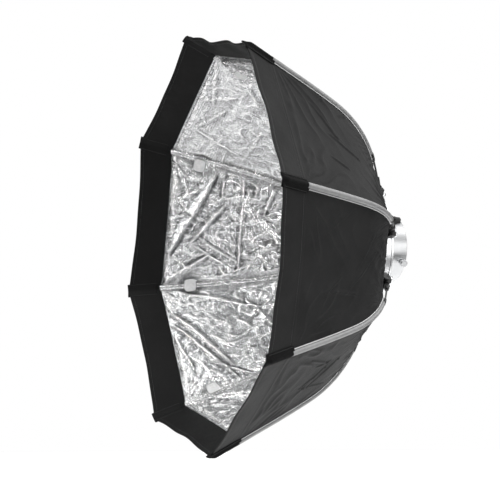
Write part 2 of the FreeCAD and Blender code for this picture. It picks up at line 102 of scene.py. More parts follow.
def bend_line(start, heading, bends, target):
    """Points and headings each millimetre along straight runs and tangent arcs.

    start is (radius, depth), a heading is from the axis, and the last arc ends at target."""
    step = 0.001
    radius, depth = [start[0]], [start[1]]
    headings = [heading]

    def run(length, end):
        count = max(1, round(length / step))
        turn = (end - headings[-1]) / count
        for _ in range(count):
            middle = headings[-1] + turn / 2
            radius.append(radius[-1] - math.sin(middle) * length / count)
            depth.append(depth[-1] + math.cos(middle) * length / count)
            headings.append(headings[-1] + turn)

    for length, end in bends:
        run(length, math.radians(end))
    across, back = radius[-1] - target[1], target[0] - depth[-1]
    half_turn = math.atan2(across, back) - headings[-1]
    chord = math.hypot(across, back)
    run(chord * half_turn / math.sin(half_turn), headings[-1] + 2 * half_turn)
    radius, depth, headings = (np.array(v) for v in (radius, depth, headings))
    steps = np.hypot(np.diff(radius), np.diff(depth))
    return np.concatenate([[0], np.cumsum(steps)]), radius, depth, headings


FABRIC = bend_line((FRONT_RADIUS, 0.0), FLARE,
                   [(STRAIGHT, math.degrees(FLARE))] + RIB_BENDS, FABRIC_END)
FABRIC_LENGTH = float(FABRIC[0][-1])


def on_line(line, s):
    """(radius, depth, heading) at distance s, carried on straight past the front end."""
    s = np.asarray(s, float)
    radius, depth, heading = (np.interp(s, line[0], v) for v in line[1:])
    before = np.minimum(s, 0)
    return radius - before * math.sin(FLARE), depth + before * math.cos(FLARE), heading


def direction(azimuth):
    return np.array([math.cos(azimuth), 0.0, math.sin(azimuth)])


def sideways(azimuth):
    return np.array([-math.sin(azimuth), 0.0, math.cos(azimuth)])


def rib_azimuth(k):
    return HALF_STEP + STEP * (k - 1)


def rib_place(k, s, side, lift):
    """Points beside rib k: s along it, side across it and lift outward from the fabric line."""
    s, side, lift = np.broadcast_arrays(*(np.asarray(v, float) for v in (s, side, lift)))
    radius, depth, heading = on_line(FABRIC, s)
    out = (radius + lift * np.cos(heading))[..., None] * direction(rib_azimuth(k))
    along = (depth + lift * np.sin(heading) - DEPTH)[..., None] * np.array([0.0, 1.0, 0.0])
    return out + along + side[..., None] * sideways(rib_azimuth(k))


def panel_place(k, u, s, lift):
    """Points on panel k: u from -1 at rib k to 1 at rib k + 1, s along the ribs, lift outward."""
    u, s, lift = np.broadcast_arrays(*(np.asarray(v, float) for v in (u, s, lift)))
    radius, depth, heading = on_line(FABRIC, s)
    slope = np.arctan2(np.sin(heading) * math.cos(HALF_STEP), np.cos(heading))
    out = radius * math.cos(HALF_STEP) + lift * np.cos(slope)
    back = depth + lift * np.sin(slope) - DEPTH
    middle = STEP * k
    return (out[..., None] * direction(middle) + back[..., None] * np.array([0.0, 1.0, 0.0])
            + (u * out * math.tan(HALF_STEP))[..., None] * sideways(middle))


def valley(side, lift=0.0):
    """How far below the rib's line the panels lie, a distance side away from the rib."""
    fall = math.tan(HALF_STEP) * math.cos(FLARE)
    return lift - np.abs(side) * fall


def smooth_step(value):
    value = np.clip(value, 0, 1)
    return value * value * (3 - 2 * value)


# -------------------- noise for wrinkles

def perlin(x, y, seed):
    """Smooth noise of about -0.7 to 0.7 with one feature a unit."""
    rng = np.random.default_rng(seed)
    order = rng.permutation(256)
    angles = rng.random(256) * 2 * math.pi
    xi, yi = np.floor(x).astype(int), np.floor(y).astype(int)
    fx, fy = x - xi, y - yi

    def corner(i, j):
        angle = angles[order[(order[(xi + i) % 256] + yi + j) % 256]]
        return np.cos(angle) * (fx - i) + np.sin(angle) * (fy - j)

    wx, wy = (t * t * t * (t * (t * 6 - 15) + 10) for t in (fx, fy))
    top = corner(0, 0) * (1 - wx) + corner(1, 0) * wx
    low = corner(0, 1) * (1 - wx) + corner(1, 1) * wx
    return top * (1 - wy) + low * wy


def creases(x, y, seed):
    """Sharp ridges with smooth ground between them, from 0 to 1."""
    return 1 - np.minimum(1.0, np.abs(perlin(x, y, seed)) * 2.2)


def facets(x, y, seed):
    """Piecewise flat noise, from -0.5 to 0.5: random heights joined by flat triangles."""
    heights = np.random.default_rng(seed).random((64, 64)) - 0.5
    skew = (x + y) * 0.3660254
    i, j = np.floor(x + skew).astype(int), np.floor(y + skew).astype(int)
    fx, fy = x + skew - i, y + skew - j
    steep = fx > fy
    first = heights[i % 64, j % 64] * (1 - np.maximum(fx, fy))
    second = np.where(steep, heights[(i + 1) % 64, j % 64], heights[i % 64, (j + 1) % 64])
    third = heights[(i + 1) % 64, (j + 1) % 64] * np.minimum(fx, fy)
    return first + second * np.abs(fx - fy) + third


def fan(side, along, centre_side, centre_along, count, seed):
    """Creases that spread out from a point."""
    dx, dy = side - centre_side, along - centre_along
    angle = np.arctan2(dx, dy + 1e-6)
    reach = np.hypot(dx, dy)
    return creases(angle * count, reach * 9, seed), reach


def fold(side, along, begin, end, width):
    """A long soft fold from begin to end: 1 on its crest and 0 away from it."""
    begin, end = np.array(begin), np.array(end)
    run = end - begin
    length = np.hypot(*run)
    run = run / length
    dx, dy = side - begin[0], along - begin[1]
    far = (dx * run[0] + dy * run[1]) / length
    off = dy * run[0] - dx * run[1]
    narrow = width * (0.25 + 0.75 * np.sin(math.pi * np.clip(far, 0, 1)))
    ends = np.clip(far / 0.08, 0, 1) * np.clip((1 - far) / 0.08, 0, 1)
    lean = np.where(off > 0, 0.55, 1.0)
    return ends * np.exp(-np.abs(off / (narrow * lean)) ** 1.7)


# -------------------- meshes

def new_object(name, mesh, *materials):
    obj = bpy.data.objects.new(name, mesh)
    bpy.context.scene.collection.objects.link(obj)
    for material in materials:
        mesh.materials.append(material)
    return obj


def grid_faces(rows, columns, flip=False, closed=False):
    """Quads of a grid whose points run row by row; closed joins the last column to the first."""
    i, j = np.meshgrid(np.arange(rows - 1), np.arange(columns if closed else columns - 1),
                       indexing="ij")
    right = (j + 1) % columns
    quads = np.stack([i * columns + j, i * columns + right,
                      (i + 1) * columns + right, (i + 1) * columns + j], axis=-1)
    quads = quads.reshape(-1, 4)
    return quads[:, ::-1] if flip else quads


def grid_mesh(name, points, flip=False, uv=None, normals=None, closed=False):
    """A smooth mesh from points of shape (rows, columns, 3), with its uv in metres."""
    rows, columns = points.shape[:2]
    faces = grid_faces(rows, columns, flip, closed)
    mesh = bpy.data.meshes.new(name)
    mesh.from_pydata(points.reshape(-1, 3).tolist(), [], faces.tolist())
    mesh.polygons.foreach_set("use_smooth", [True] * len(faces))
    if uv is not None:
        layer = mesh.uv_layers.new(name="UVMap")
        layer.data.foreach_set("uv", uv.reshape(-1, 2)[faces.ravel()].astype(np.float32).ravel())
    if normals is not None:
        mesh.normals_split_custom_set_from_vertices(normals.reshape(-1, 3).tolist())
    mesh.validate()
    mesh.update()
    return mesh


def grid_normals(points):
    """Unit normals of a grid of points, by its rows and columns."""
    down, across = np.gradient(points, axis=0), np.gradient(points, axis=1)
    normal = np.cross(across, down)
    return normal / np.linalg.norm(normal, axis=-1, keepdims=True)


def strips(name, paths, radius, sides=5):
    """One mesh of short round threads, each a list of points with tapered ends."""
    points, faces = [], []
    turn = np.linspace(0, 2 * math.pi, sides, endpoint=False)
    for path in paths:
        path = np.asarray(path, float)
        run = np.gradient(path, axis=0)
        run /= np.linalg.norm(run, axis=1, keepdims=True)
        helper = np.array([0.31, 0.52, 0.79])
        first = np.cross(run, helper)
        first /= np.linalg.norm(first, axis=1, keepdims=True)
        second = np.cross(run, first)
        girth = np.full(len(path), radius)
        girth[[0, -1]] *= 0.35
        ring = (np.cos(turn)[None, :, None] * first[:, None]
                + np.sin(turn)[None, :, None] * second[:, None]) * girth[:, None, None]
        base = len(points)
        points.extend((path[:, None] + ring).reshape(-1, 3).tolist())
        faces.extend((grid_faces(len(path), sides, closed=True) + base).tolist())
        faces.append([base + i for i in range(sides)])
        end = base + (len(path) - 1) * sides
        faces.append([end + i for i in reversed(range(sides))])
    mesh = bpy.data.meshes.new(name)
    mesh.from_pydata(points, [], faces)
    mesh.polygons.foreach_set("use_smooth", [True] * len(faces))
    mesh.update()
    return mesh


# -------------------- materials

class Tree:
    """A short way to write nodes."""

    def __init__(self, tree):
        self.tree = tree

    def add(self, kind, values=None, **settings):
        """A new node, whose inputs take a value or another node's output."""
        node = self.tree.nodes.new(kind)
        for key, value in settings.items():
            setattr(node, key, value)
        for key, value in (values or {}).items():
            if isinstance(value, bpy.types.NodeSocket):
                self.tree.links.new(value, node.inputs[key])
            else:
                node.inputs[key].default_value = value
        return node

    def rescale(self, value, before=(0.0, 1.0), after=(0.0, 1.0)):
        """A value taken from one range to another, and clamped to it."""
        values = {"Value": value, "From Min": before[0], "From Max": before[1],
                  "To Min": after[0], "To Max": after[1]}
        return self.add("ShaderNodeMapRange", values).outputs[0]


class Nodes(Tree):
    """A material with a Principled shader."""

    def __init__(self, name, **values):
        self.material = bpy.data.materials.new(name)
        self.material.use_nodes = True
        super().__init__(self.material.node_tree)
        self.shader = self.tree.nodes["Principled BSDF"]
        for key, value in values.items():
            self.shader.inputs[key.replace("_", " ")].default_value = value

    def link(self, source, key):
        self.tree.links.new(source, self.shader.inputs[key])

    def coords(self, kind="Object", scale=(1, 1, 1)):
        source = self.add("ShaderNodeTexCoord").outputs[kind]
        return self.add("ShaderNodeMapping", {"Vector": source, "Scale": scale}).outputs[0]

    def noise(self, vector, scale, detail=3.0, rough=0.5):
        node = self.add("ShaderNodeTexNoise", {"Vector": vector, "Scale": scale,
                                               "Detail": detail, "Roughness": rough})
        return node.outputs["Fac"]

    def waves(self, vector, period, along="X"):
        values = {"Vector": vector, "Scale": math.pi / 10 / period}
        node = self.add("ShaderNodeTexWave", values, bands_direction=along)
        return node.outputs["Fac"]

    def ramp(self, fac, stops):
        node = self.add("ShaderNodeValToRGB", {"Fac": fac})
        elements = node.color_ramp.elements
        while len(elements) < len(stops):
            elements.new(0.5)
        for element, (place, colour) in zip(elements, stops):
            element.position = place
            element.color = (*colour, 1)
        return node.outputs["Color"]

    def math(self, kind, a, b=0.0):
        return self.add("ShaderNodeMath", {0: a, 1: b}, operation=kind).outputs[0]

    def bump(self, height, distance, strength=1.0, before=None):
        values = {"Height": height, "Distance": distance, "Strength": strength}
        if before is not None:
            values["Normal"] = before
        return self.add("ShaderNodeBump", values).outputs[0]


def grey(value, tint=0.0):
    """A grey, slightly blue with a positive tint."""
    return (value * (1 - tint), value, value * (1 + tint))


def black_cloth(name, value, sheen=0.03):
    """Plain-woven nylon: fine crossed threads, slight patches of tone and a soft sheen."""
    n = Nodes(name, Roughness=0.6, Sheen_Weight=sheen, Sheen_Roughness=0.35,
              Specular_IOR_Level=0.11)
    uv = n.coords("UV")
    tone = n.noise(n.coords(), 14.0, 5.0)
    n.link(n.ramp(tone, [(0.3, grey(value * 0.85)), (0.7, grey(value * 1.15))]), "Base Color")
    threads = n.math("ADD", n.waves(uv, 0.0007, "X"), n.waves(uv, 0.0007, "Y"))
    fine = n.noise(uv, 700.0, 2.0)
    bump = n.bump(n.noise(n.coords(), 55.0, 5.0, 0.6), 0.0016, 0.5)
    bump = n.bump(threads, 0.00005, 0.6, bump)
    bump = n.bump(fine, 0.00025, 0.5, bump)
    n.link(bump, "Normal")
    return n.material


def silver_cloth():
    """Metallised lining: bright crinkled foil laminated on a ripstop grid, with painted shade
    darkening its crease lines and hollows and painted highlight lightening its ridges.
    """
    n = Nodes("silver_lining", Metallic=0.92, Roughness=0.2)
    uv = n.coords("UV")
    place = n.coords()
    warp = n.add("ShaderNodeTexNoise", {"Vector": place, "Scale": 40.0, "Detail": 3.0})
    colour = warp.outputs["Color"]
    shift = n.add("ShaderNodeVectorMath", {0: colour, 1: (0.014, 0.014, 0.014)},
                  operation="MULTIPLY")
    bent = n.add("ShaderNodeVectorMath", {0: place, 1: colour, 2: shift.outputs[0]},
                 operation="MULTIPLY_ADD")
    cells = n.add("ShaderNodeTexVoronoi", {"Vector": bent.outputs[0], "Scale": 75.0},
                  feature="DISTANCE_TO_EDGE")
    # Painted shade: the cells' edges darken the base colour into crease lines, and their middles
    # lighten it as painted highlight.
    crumple = n.rescale(cells.outputs["Distance"], (0.0, 0.35))
    small = n.noise(place, 330.0, 4.0, 0.6)
    tone_and_painted_light = n.math("ADD", n.math("MULTIPLY", crumple, 0.5), n.math("MULTIPLY", small, 0.5))
    # Painted shade and highlight: the mesh's hollows darken the base colour and its ridges lighten
    # it.
    pointiness = n.add("ShaderNodeNewGeometry").outputs["Pointiness"]
    painted_hollow_shade = n.rescale(pointiness, (0.455, 0.545))
    tone_and_painted_light = n.math("ADD", n.math("MULTIPLY", tone_and_painted_light, 0.35), n.math("MULTIPLY", painted_hollow_shade, 0.65))
    weft, along = n.waves(uv, RIPSTOP, "Y"), n.waves(uv, RIPSTOP, "X")
    weave = n.math("POWER", weft, 4.0)
    tone_and_painted_light = n.math("SUBTRACT", tone_and_painted_light, n.math("MULTIPLY", weave, 0.07))
    stops = [(0.14, grey(0.16, 0.01)), (0.40, grey(0.70, 0.01)), (0.58, grey(1.0, 0.0))]
    n.link(n.ramp(tone_and_painted_light, stops), "Base Color")
    rough = n.noise(place, 60.0, 4.0)
    n.link(n.rescale(rough, after=(0.07, 0.17)), "Roughness")
    grid = n.math("ADD", weft, n.math("MULTIPLY", along, 0.5))
    patches = n.rescale(n.noise(place, 9.0, 2.0), (0.42, 0.6), (0.1, 1.0))
    bump = n.bump(crumple, 0.0005, 0.7)
    bump = n.bump(small, 0.00030, 0.5, bump)
    bump = n.bump(n.math("MULTIPLY", grid, patches), 0.00034, 1.0, bump)
    n.link(bump, "Normal")
    return n.material


def webbing(name, value, shine):
    """Fine woven tape with a satin face and a slight wear of tone, with painted shade: its colour
    turns dark from the foot of its raised middle out over its flat edges, in the gap beside the
    piping.
    """
    n = Nodes(name, Roughness=0.42, Metallic=shine, Sheen_Weight=0.1, Sheen_Roughness=0.35,
              Specular_IOR_Level=0.7)
    uv = n.coords("UV")
    weft, warp = n.waves(uv, 0.0009, "Y"), n.waves(uv, 0.0006, "X")
    tone = n.noise(uv, 120.0, 4.0)
    tone_and_painted_light = n.math("ADD", n.math("MULTIPLY", weft, 0.25), n.math("MULTIPLY", tone, 0.75))
    # Painted shade: the colour falls to near black from the foot of the raised middle out to the
    # tape's edges, in the groove beside the piping.
    across = n.math("ABSOLUTE", n.add("ShaderNodeSeparateXYZ", {0: uv}).outputs["X"])
    tone_and_painted_light = n.math("MULTIPLY", tone_and_painted_light, n.rescale(across, (0.0054, 0.0060), (1.0, 0.0)))
    n.link(n.ramp(tone_and_painted_light, [(0.02, grey(value * 0.1)), (0.25, grey(value * 0.8)),
                        (0.75, grey(value * 1.15))]), "Base Color")
    bump = n.bump(weft, 0.00012, 0.6)
    bump = n.bump(warp, 0.00006, 0.5, bump)
    n.link(bump, "Normal")
    return n.material


def fuzzy(name, value, sheen, pile_height):
    """Hook-and-loop cloth: a dense, very rough pile."""
    n = Nodes(name, Roughness=0.95, Sheen_Weight=sheen, Sheen_Roughness=0.6,
              Specular_IOR_Level=0.06)
    place = n.coords()
    pile = n.noise(place, 900.0, 4.0, 0.7)
    clumps = n.noise(place, 240.0, 3.0)
    n.link(n.ramp(clumps, [(0.3, grey(value * 0.85)), (0.75, grey(value * 1.1))]), "Base Color")
    bump = n.bump(pile, pile_height, 0.9)
    bump = n.bump(clumps, pile_height * 1.6, 0.5, bump)
    n.link(bump, "Normal")
    return n.material


def plain_thread(name, value):
    """Twisted sewing thread."""
    n = Nodes(name, Roughness=0.6, Sheen_Weight=0.3)
    twist = n.noise(n.coords(), 2500.0, 2.0)
    n.link(n.ramp(twist, [(0.3, grey(value * 0.7)), (0.7, grey(value * 1.15))]), "Base Color")
    return n.material


def moulded_plastic(name, value):
    """Black nylon with a fine moulded grain."""
    n = Nodes(name, Roughness=0.42, Specular_IOR_Level=0.5)
    place = n.coords()
    grain = n.noise(place, 1600.0, 3.0)
    tone = n.noise(place, 60.0, 4.0)
    n.link(n.ramp(tone, [(0.3, grey(value * 0.8)), (0.7, grey(value * 1.3))]), "Base Color")
    n.link(n.bump(grain, 0.0002, 0.4), "Normal")
    return n.material


def glass_fibre():
    """A pultruded rod: smooth resin over fibres that run along it."""
    n = Nodes("fibreglass", Roughness=0.28, Coat_Weight=0.4, Coat_Roughness=0.15)
    fibres = n.noise(n.coords(scale=(1, 0.06, 1)), 900.0, 3.0)
    n.link(n.ramp(fibres, [(0.35, grey(0.008)), (0.7, grey(0.03))]), "Base Color")
    n.link(n.bump(fibres, 0.0002, 0.3), "Normal")
    return n.material


def turned_metal(name, value, rough, lines, metallic=1.0):
    """Aluminium or steel with fine turning marks round the softbox's axis."""
    n = Nodes(name, Metallic=metallic, Roughness=rough)
    place = n.coords()
    tone = n.noise(place, 30.0, 4.0)
    n.link(n.ramp(tone, [(0.3, grey(value * 0.92, 0.01)), (0.7, grey(value, 0.01))]), "Base Color")
    marks = n.noise(n.coords(scale=(0.02, 1, 0.02)), lines, 4.0, 0.7)
    smudge = n.noise(place, 45.0, 5.0)
    n.link(n.rescale(smudge, after=(rough * 0.75, rough * 1.35)), "Roughness")
    n.link(n.bump(marks, 0.00004, 0.3), "Normal")
    return n.material


def make_materials():
    return {
        "black_fabric": black_cloth("black_fabric", 0.021),
        "lip_inside": black_cloth("lip_inside", 0.009, 0.02),
        "silver_lining": silver_cloth(),
        "grey_webbing": webbing("grey_webbing", 0.30, 0.12),
        "black_webbing": webbing("black_webbing", 0.015, 0.0),
        "hook_tape_black": fuzzy("hook_tape_black", 0.004, 0.04, 0.0012),
        "hook_tape_white": fuzzy("hook_tape_white", 0.95, 0.2, 0.0002),
        "thread": plain_thread("thread", 0.85),
        "dark_thread": plain_thread("dark_thread", 0.02),
        "lip_thread": plain_thread("lip_thread", 0.05),
        "black_plastic": moulded_plastic("black_plastic", 0.012),
        "fibreglass": glass_fibre(),
        "satin_aluminium": turned_metal("satin_aluminium", 0.97, 0.30, 900.0, 0.9),
        "polished_aluminium": turned_metal("polished_aluminium", 0.66, 0.34, 1400.0),
        "steel": turned_metal("steel", 0.6, 0.3, 900.0),
        "dark_steel": turned_metal("dark_steel", 0.05, 0.4, 900.0),
    }


# -------------------- panels

TAB_PLACE = 0.144                 # along the rib
TAB_LENGTH = 0.026
TAB_WIDTH = 0.028
TAB_SIDE = {4: 0.012, 6: -0.008}          # the tabs that hang to one side of their rib

# The lining's long soft folds on each panel: from (u, s) to (u, s), half width and height.
FOLDS = {
    3: [((-0.80, 0.09), (-0.10, 0.12), 0.009, 0.0050),
        ((0.36, 0.10), (-0.20, 0.15), 0.010, 0.0045),
        ((0.40, 0.10), (0.68, 0.22), 0.007, 0.0040),
        ((0.85, 0.23), (-0.05, 0.24), 0.008, 0.0040),
        ((-0.80, 0.17), (0.00, 0.29), 0.014, 0.0060),
        ((-0.10, 0.075), (-0.55, 0.16), 0.012, 0.0045)],
    4: [((-0.88, 0.185), (0.55, 0.085), 0.013, 0.0120),
        ((-0.38, 0.21), (0.34, 0.135), 0.011, 0.0070),
        ((-0.99, 0.20), (-0.45, 0.20), 0.005, 0.0040),
        ((-0.99, 0.25), (-0.50, 0.25), 0.005, 0.0040),
        ((-0.99, 0.285), (-0.60, 0.28), 0.005, 0.0040),
        ((-0.99, 0.33), (-0.25, 0.30), 0.006, 0.0045),
        ((-0.08, 0.25), (0.88, 0.25), 0.0045, 0.0040),
        ((0.22, 0.15), (0.66, 0.25), 0.004, 0.0035),
        ((0.36, 0.145), (0.64, 0.21), 0.004, 0.0035),
        ((0.96, 0.075), (0.50, 0.18), 0.012, 0.0090)],
    5: [((-0.55, 0.085), (0.66, 0.20), 0.016, 0.0110),
        ((-0.36, 0.08), (0.98, 0.21), 0.009, 0.0075),
        ((0.45, 0.15), (0.98, 0.24), 0.006, 0.0050),
        ((-0.20, 0.08), (0.55, 0.112), 0.005, 0.0045),
        ((-0.60, 0.26), (0.30, 0.32), 0.008, 0.0055),
        ((-0.95, 0.10), (-0.30, 0.30), 0.010, 0.0050)],
}

CRUMPLE = {3: 0.55, 4: 1.15}              # how strong a lining's relief is, where not 1


def random_folds(k):
    """Long folds for the panels that have none written down."""
    rng = np.random.default_rng(900 + k)
    made = []
    for n in range(7):
        corner = -1 if n % 2 else 1
        begin = (corner * rng.uniform(0.4, 0.95), rng.uniform(0.08, 0.20))
        end = (-corner * rng.uniform(0.0, 0.9), rng.uniform(0.10, 0.34))
        made.append((begin, end, rng.uniform(0.005, 0.014), rng.uniform(0.004, 0.009)))
    return made


def half_width(s):
    return on_line(FABRIC, s)[0] * math.sin(HALF_STEP)


def cloth_wrinkles(k, side, s, u):
    """Fine tension wrinkles of the outer cloth, that spread from the pockets and the hub."""
    half = half_width(s)
    edge = np.minimum(1.0, (1 - np.abs(u)) * half / 0.02)
    warp = side + 0.010 * perlin(side * 12, s * 12, 200 + k)
    height = np.zeros_like(s)
    for sign in (-1, 1):
        corner_side = sign * float(half_width(POCKET_LENGTH))
        spread, reach = fan(warp, s, corner_side, POCKET_LENGTH, 3.4, 10 * k + sign)
        height += 0.0034 * spread ** 3 * np.exp(-((reach - 0.10) / 0.10) ** 2)
        hub_side = sign * float(half_width(SLEEVE_END))
        spread, reach = fan(warp, s, hub_side, SLEEVE_END + 0.01, 4.4, 20 * k + sign)
        height += 0.0028 * spread ** 3 * np.exp(-((reach - 0.07) / 0.08) ** 2)
    rng = np.random.default_rng(700 + k)
    for _ in range(5):
        begin = (rng.uniform(-0.7, 0.7) * 0.15, rng.uniform(0.12, 0.25))
        end = (begin[0] + rng.uniform(-0.09, 0.09), begin[1] + rng.uniform(0.05, 0.12))
        height += 0.0026 * fold(side, s, begin, end, 0.0032)
    height += 0.0013 * perlin(side * 9, s * 7, 40 + k) + 0.0004 * facets(warp * 40, s * 40, 45 + k)
    return height * edge * np.clip((s - SEAM - 0.004 - seam_shift(k, u)) / 0.012, 0, 1)


def lining_wrinkles(k, side, s, u):
    """The foil lining's crumple: long folds, gathers at the seams and facets like creased foil."""
    half = half_width(s)
    edge = smooth_step((1 - np.abs(u)) * half / 0.020) ** 0.7
    warp_x = side + 0.012 * perlin(side * 14, s * 14, 300 + k)
    warp_y = s + 0.012 * perlin(side * 14, s * 14, 320 + k)
    height = np.zeros_like(s)
    for (u0, s0), (u1, s1), width, rise in FOLDS.get(k) or random_folds(k):
        begin = (u0 * float(half_width(s0)), s0)
        end = (u1 * float(half_width(s1)), s1)
        height += rise * fold(side * 0.7 + warp_x * 0.3, s * 0.7 + warp_y * 0.3, begin, end, width)
    for sign in (-1, 1):
        corner_side = sign * float(half_width(SEAM))
        spread, reach = fan(warp_x, warp_y, corner_side, SEAM, 4.0, 400 + 10 * k + sign)
        height += 0.0040 * spread ** 2 * np.exp(-reach / 0.09) * np.minimum(1, reach / 0.03)
        gap = (1 - sign * u) * half
        gathers = creases(warp_y * 26 + 3 * gap, gap * 5, 440 + 10 * k + sign) ** 2
        height += 0.0028 * gathers * np.exp(-gap / 0.035)
        teeth = creases(s * 52 + 1.5 * gap, gap * 9, 480 + 10 * k + sign) ** 2
        height += 0.0018 * teeth * np.exp(-gap / 0.018)
    # Broad dents, then the crumple inside them, then the foil's fine crinkle.
    height += 0.0080 * (facets(warp_x * 17, warp_y * 17, 500 + k) + 0.5)
    height += 0.0042 * (facets(warp_x * 40, warp_y * 40, 520 + k) + 0.5)
    height += 0.0008 * (facets(side * 95, s * 95, 540 + k) + 0.5)
    height += 0.0024 * creases(warp_x * 30, warp_y * 24, 560 + k) ** 3
    # The lining lies calm round the tabs, which are sewn through it.
    calm = np.ones_like(s)
    for sign, rib in ((-1, k), (1, k % RIBS + 1)):
        tab = TAB_SIDE.get(rib, 0.0)
        off = np.hypot(side - sign * half - tab, s - TAB_PLACE)
        calm *= np.clip((off - 0.018) / 0.014, 0.10, 1)
    start = np.clip((s - SEAM - 0.004 - seam_shift(k, u)) / 0.010, 0, 1)
    return height * edge * calm * start * CRUMPLE.get(k, 1.0)


def hub_sag(s, u):
    """How far a panel hangs in between its ribs, just before it reaches the hub."""
    reach = smooth_step((s - 0.37) / 0.06) * (1 - 0.7 * smooth_step((s - 0.465) / 0.03))
    return -HUB_SAG * (1 - u ** 2) * reach


def panel_grid(k, begin, spacing, wrinkles, base):
    """Points, uv and normals of a whole panel, with an odd number of columns.

    The hub end is drawn in from the flat panel to the round collar."""
    rows = round((FABRIC_LENGTH - begin) / spacing) + 1
    widest = 2 * half_width(begin)
    columns = 2 * round(float(widest) / spacing / 2) + 1
    s = np.linspace(begin, FABRIC_LENGTH, rows)[:, None] * np.ones((1, columns))
    u = np.linspace(-1, 1, columns)[None, :] * np.ones((rows, 1))
    side = u * on_line(FABRIC, s)[0] * math.sin(HALF_STEP)
    points = panel_place(k, u, s, base + hub_sag(s, u) + wrinkles(k, side, s, u))
    reach = smooth_step((s - FABRIC_LENGTH + GATHER) / GATHER)
    away = np.hypot(points[..., 0], points[..., 2])
    points[..., ::2] *= (1 + reach * ((COLLAR_RADIUS + base) / away - 1))[..., None]
    return points, np.stack([side, s], axis=-1), grid_normals(points)


def halves(k):
    """(name, rib, fold body, side of the rib) of panel k's two halves."""
    after = k % RIBS + 1
    return [(f"panel_{k}_half_a", k, f"panel_{k}_fold_a", 1),
            (f"panel_{k}_half_b", after, f"panel_{k}_fold_b", -1)]


def split_columns(k, columns):
    """The columns of panel k's grid that each half takes, each with the half's own values."""
    middle = columns // 2
    parts = (slice(0, middle + 1), slice(middle, None))
    return [(part, *half) for part, half in zip(parts, halves(k))]


def bend_with(obj):
    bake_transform(obj)


def add_panel(k, kind, begin, spacing, wrinkles, base, inward, material):
    """One layer of panel k as two half pieces."""
    points, uv, normals = panel_grid(k, begin, spacing, wrinkles, base)
    plain = panel_grid(k, begin, spacing, lambda k, side, s, u: 0 * s, base)[0]
    if not inward:
        normals = -normals
    made = []
    for columns, name, rib, fold, sign in split_columns(k, points.shape[1]):
        mesh = grid_mesh(f"{name}_{kind}", points[:, columns], flip=not inward,
                         uv=uv[:, columns], normals=normals[:, columns])
        obj = new_object(f"{name}_{kind}", mesh, material)
        bend_with(obj)
        made.append((obj, name))
    return made


# -------------------- front lip

LIP_THICK = 0.0022
LIP_OUTER_ROWS = 34
LIP_INNER_ROWS = 22
RIM_SCOOP = {4: 0.0065, 8: 0.0120}        # how far back the rim curves, where not 0.0060
SEAM_SCOOP = {3: -0.0010, 4: 0.0030, 8: 0.0080}          # and its seam, where not 0.0020


def lip_wave(k, side, s, u):
    """How far the slack rim waves in and out, most at its front edge."""
    slack = 0.0045 if k == 2 else 0.0018
    looseness = np.clip(1 - s / SEAM, 0, 1) ** 1.5 * (1 - u ** 4)
    return slack * looseness * np.sin(side * 42 + 1.7 * k) + 0.001 * perlin(side * 12, s * 20, k)


def rim_wave(k, side, u):
    """How far the rim's front edge curves back between the ribs, and scallops."""
    slack = 0.0030 if k == 2 else 0.0010
    scallop = slack * (1 - u ** 4) * (1 + np.cos(side * 48 + 0.9 * k)) / 2
    return RIM_SCOOP.get(k, 0.0060) * (1 - u ** 2) + scallop


def seam_shift(k, u):
    """How far back the seam between rim and panel curves."""
    return SEAM_SCOOP.get(k, 0.0020) * (1 - np.asarray(u, float) ** 2)


def lip_place(k, u, s, lift):
    """Points on the rim, with its waves; the seam stands up where its allowance is folded."""
    u, s, lift = np.broadcast_arrays(*(np.asarray(v, float) for v in (u, s, lift)))
    side = u * half_width(s)
    free = np.clip(1 - s / SEAM, 0, 1)
    ridge = 0.0009 * np.exp(-((s - SEAM + 0.004) / 0.0028) ** 2) * (lift > 0)
    hem = 0.0005 * np.exp(-((s - 0.004) / 0.0036) ** 4)
    swell = (ridge + hem * np.sign(lift + 0.0006)) * np.clip((1 - np.abs(u)) * 12, 0, 1)
    moved = s + rim_wave(k, side, u) * free + seam_shift(k, u) * (1 - free)
    return panel_place(k, u, moved, lift + swell + lip_wave(k, side, s, u) * free)


def lip_points(k, columns=81):
    """A closed strip: over the outside, round the hemmed front edge and back inside."""
    inside_end = SEAM + 0.004
    half_thick = LIP_THICK / 2
    outer_s = np.linspace(SEAM + 0.001, half_thick, LIP_OUTER_ROWS)
    turn = np.linspace(math.pi / 2, -math.pi / 2, 8)[1:-1]
    inner_s = np.linspace(half_thick, inside_end, LIP_INNER_ROWS)
    s = np.concatenate([outer_s, half_thick - half_thick * np.cos(turn), inner_s])
    lift = np.concatenate([np.full(LIP_OUTER_ROWS, 0.0005),
                           -0.0006 + half_thick * np.sin(turn),
                           np.full(LIP_INNER_ROWS, 0.0005 - LIP_THICK)])
    s = s[:, None] * np.ones((1, columns))
    lift = lift[:, None] * np.ones((1, columns))
    u = np.linspace(-1, 1, columns)[None, :] * np.ones((len(s), 1))
    return lip_place(k, u, s, lift), np.stack([u * half_width(s), s], axis=-1)


def add_lip(k, outside, inside):
    """The front rim of panel k as two half pieces, with a different cloth inside."""
    points, uv = lip_points(k)
    normals = grid_normals(points)
    for chosen, name, rib, body, sign in split_columns(k, points.shape[1]):
        part = points[:, chosen]
        mesh = grid_mesh(f"{name}_lip", part, uv=uv[:, chosen], normals=normals[:, chosen])
        obj = new_object(f"{name}_lip", mesh, outside, inside)
        width = part.shape[1] - 1
        outer_faces = (LIP_OUTER_ROWS + 2) * width
        mesh.polygons.foreach_set("material_index", [0 if n < outer_faces else 1
                                                     for n in range(len(mesh.polygons))])
        bend_with(obj)


